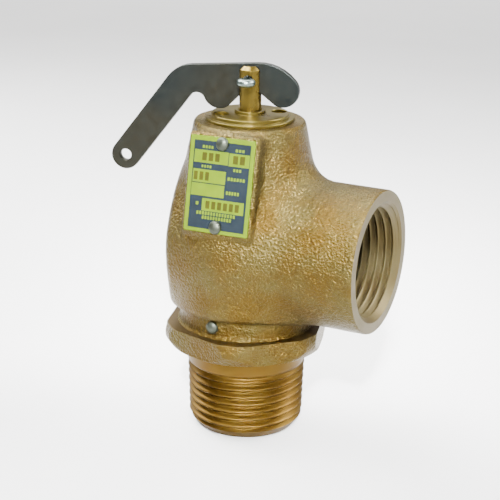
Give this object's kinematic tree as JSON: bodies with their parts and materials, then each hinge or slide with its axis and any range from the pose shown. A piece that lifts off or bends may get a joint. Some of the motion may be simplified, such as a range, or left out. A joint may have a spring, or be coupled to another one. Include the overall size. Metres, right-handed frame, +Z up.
{
  "type": "pressure relief valve",
  "caption": "Angle-pattern bronze relief valve with a male threaded bottom inlet, a female threaded side outlet, a sprung disc and a hand lift lever.",
  "frame": {"origin": "on the valve axis, in the plane of the inlet thread's end face", "axes": "+Z up the valve axis from inlet to lever, +X out of the side outlet, nameplate facing -Y"},
  "size_m": [0.0625, 0.0374, 0.0836],
  "materials": {
    "cast_bronze": "sand-cast bronze with a fine grain, bead-blasted and lightly lacquered",
    "nozzle_bronze": "cast hexagon faces with a turned and threaded nipple",
    "machined_brass": "bright turned brass",
    "plated_steel": "dark olive chromate over zinc on stamped steel plate",
    "pin_steel": "plain bright steel",
    "spring_steel": "drawn stainless spring wire",
    "nameplate_print": "thin plate with a yellow-green ground and a dark slate printed field",
    "soft_seat": "moulded silicone rubber"
  },
  "bodies": {
    "root": {"valve_body": "cast_bronze", "inlet_base": "nozzle_bronze", "body_lock_pin": "pin_steel", "nameplate": "nameplate_print", "nameplate_screw_upper": "pin_steel", "nameplate_screw_lower": "pin_steel", "bonnet_cap": "machined_brass", "upper_spring_step": "machined_brass", "main_spring": "spring_steel", "disc_guide": "machined_brass", "regulating_ring": "machined_brass"},
    "disc_assembly": {"disc_holder": "machined_brass", "seat_disc": "soft_seat", "disc_retainer_washer": "pin_steel", "disc_retainer_screw": "pin_steel", "lower_spring_step": "machined_brass"},
    "spindle": {"stem": "machined_brass", "stem_stop_washer": "pin_steel", "stem_retaining_ring": "spring_steel", "lever_cotter_pin": "pin_steel"},
    "lever": {"lift_lever": "plated_steel"}
  },
  "joints": [
    {"name": "disc_lift", "type": "slide", "parent": "root", "child": "disc_assembly", "axis": [0, 0, 1], "range_m": [0, 0.0024], "stiffness_N_per_m": 3000, "springref_m": -0.002, "deforming": ["main_spring"]},
    {"name": "stem_swivel", "type": "hinge", "parent": "disc_assembly", "child": "spindle", "pos_m": [0, 0, 0.0799], "axis": [0, 0, 1], "range_deg": [-140, 140]},
    {"name": "lever_pivot", "type": "hinge", "parent": "spindle", "child": "lever", "pos_m": [0, 0, 0.0799], "axis": [-0.2334, 0.9724, 0], "range_deg": [0, 32]}
  ],
  "couplings": [
    {"joint": "lever_pivot", "follows": "disc_lift", "rad_per_m": 232.5}
  ]
}
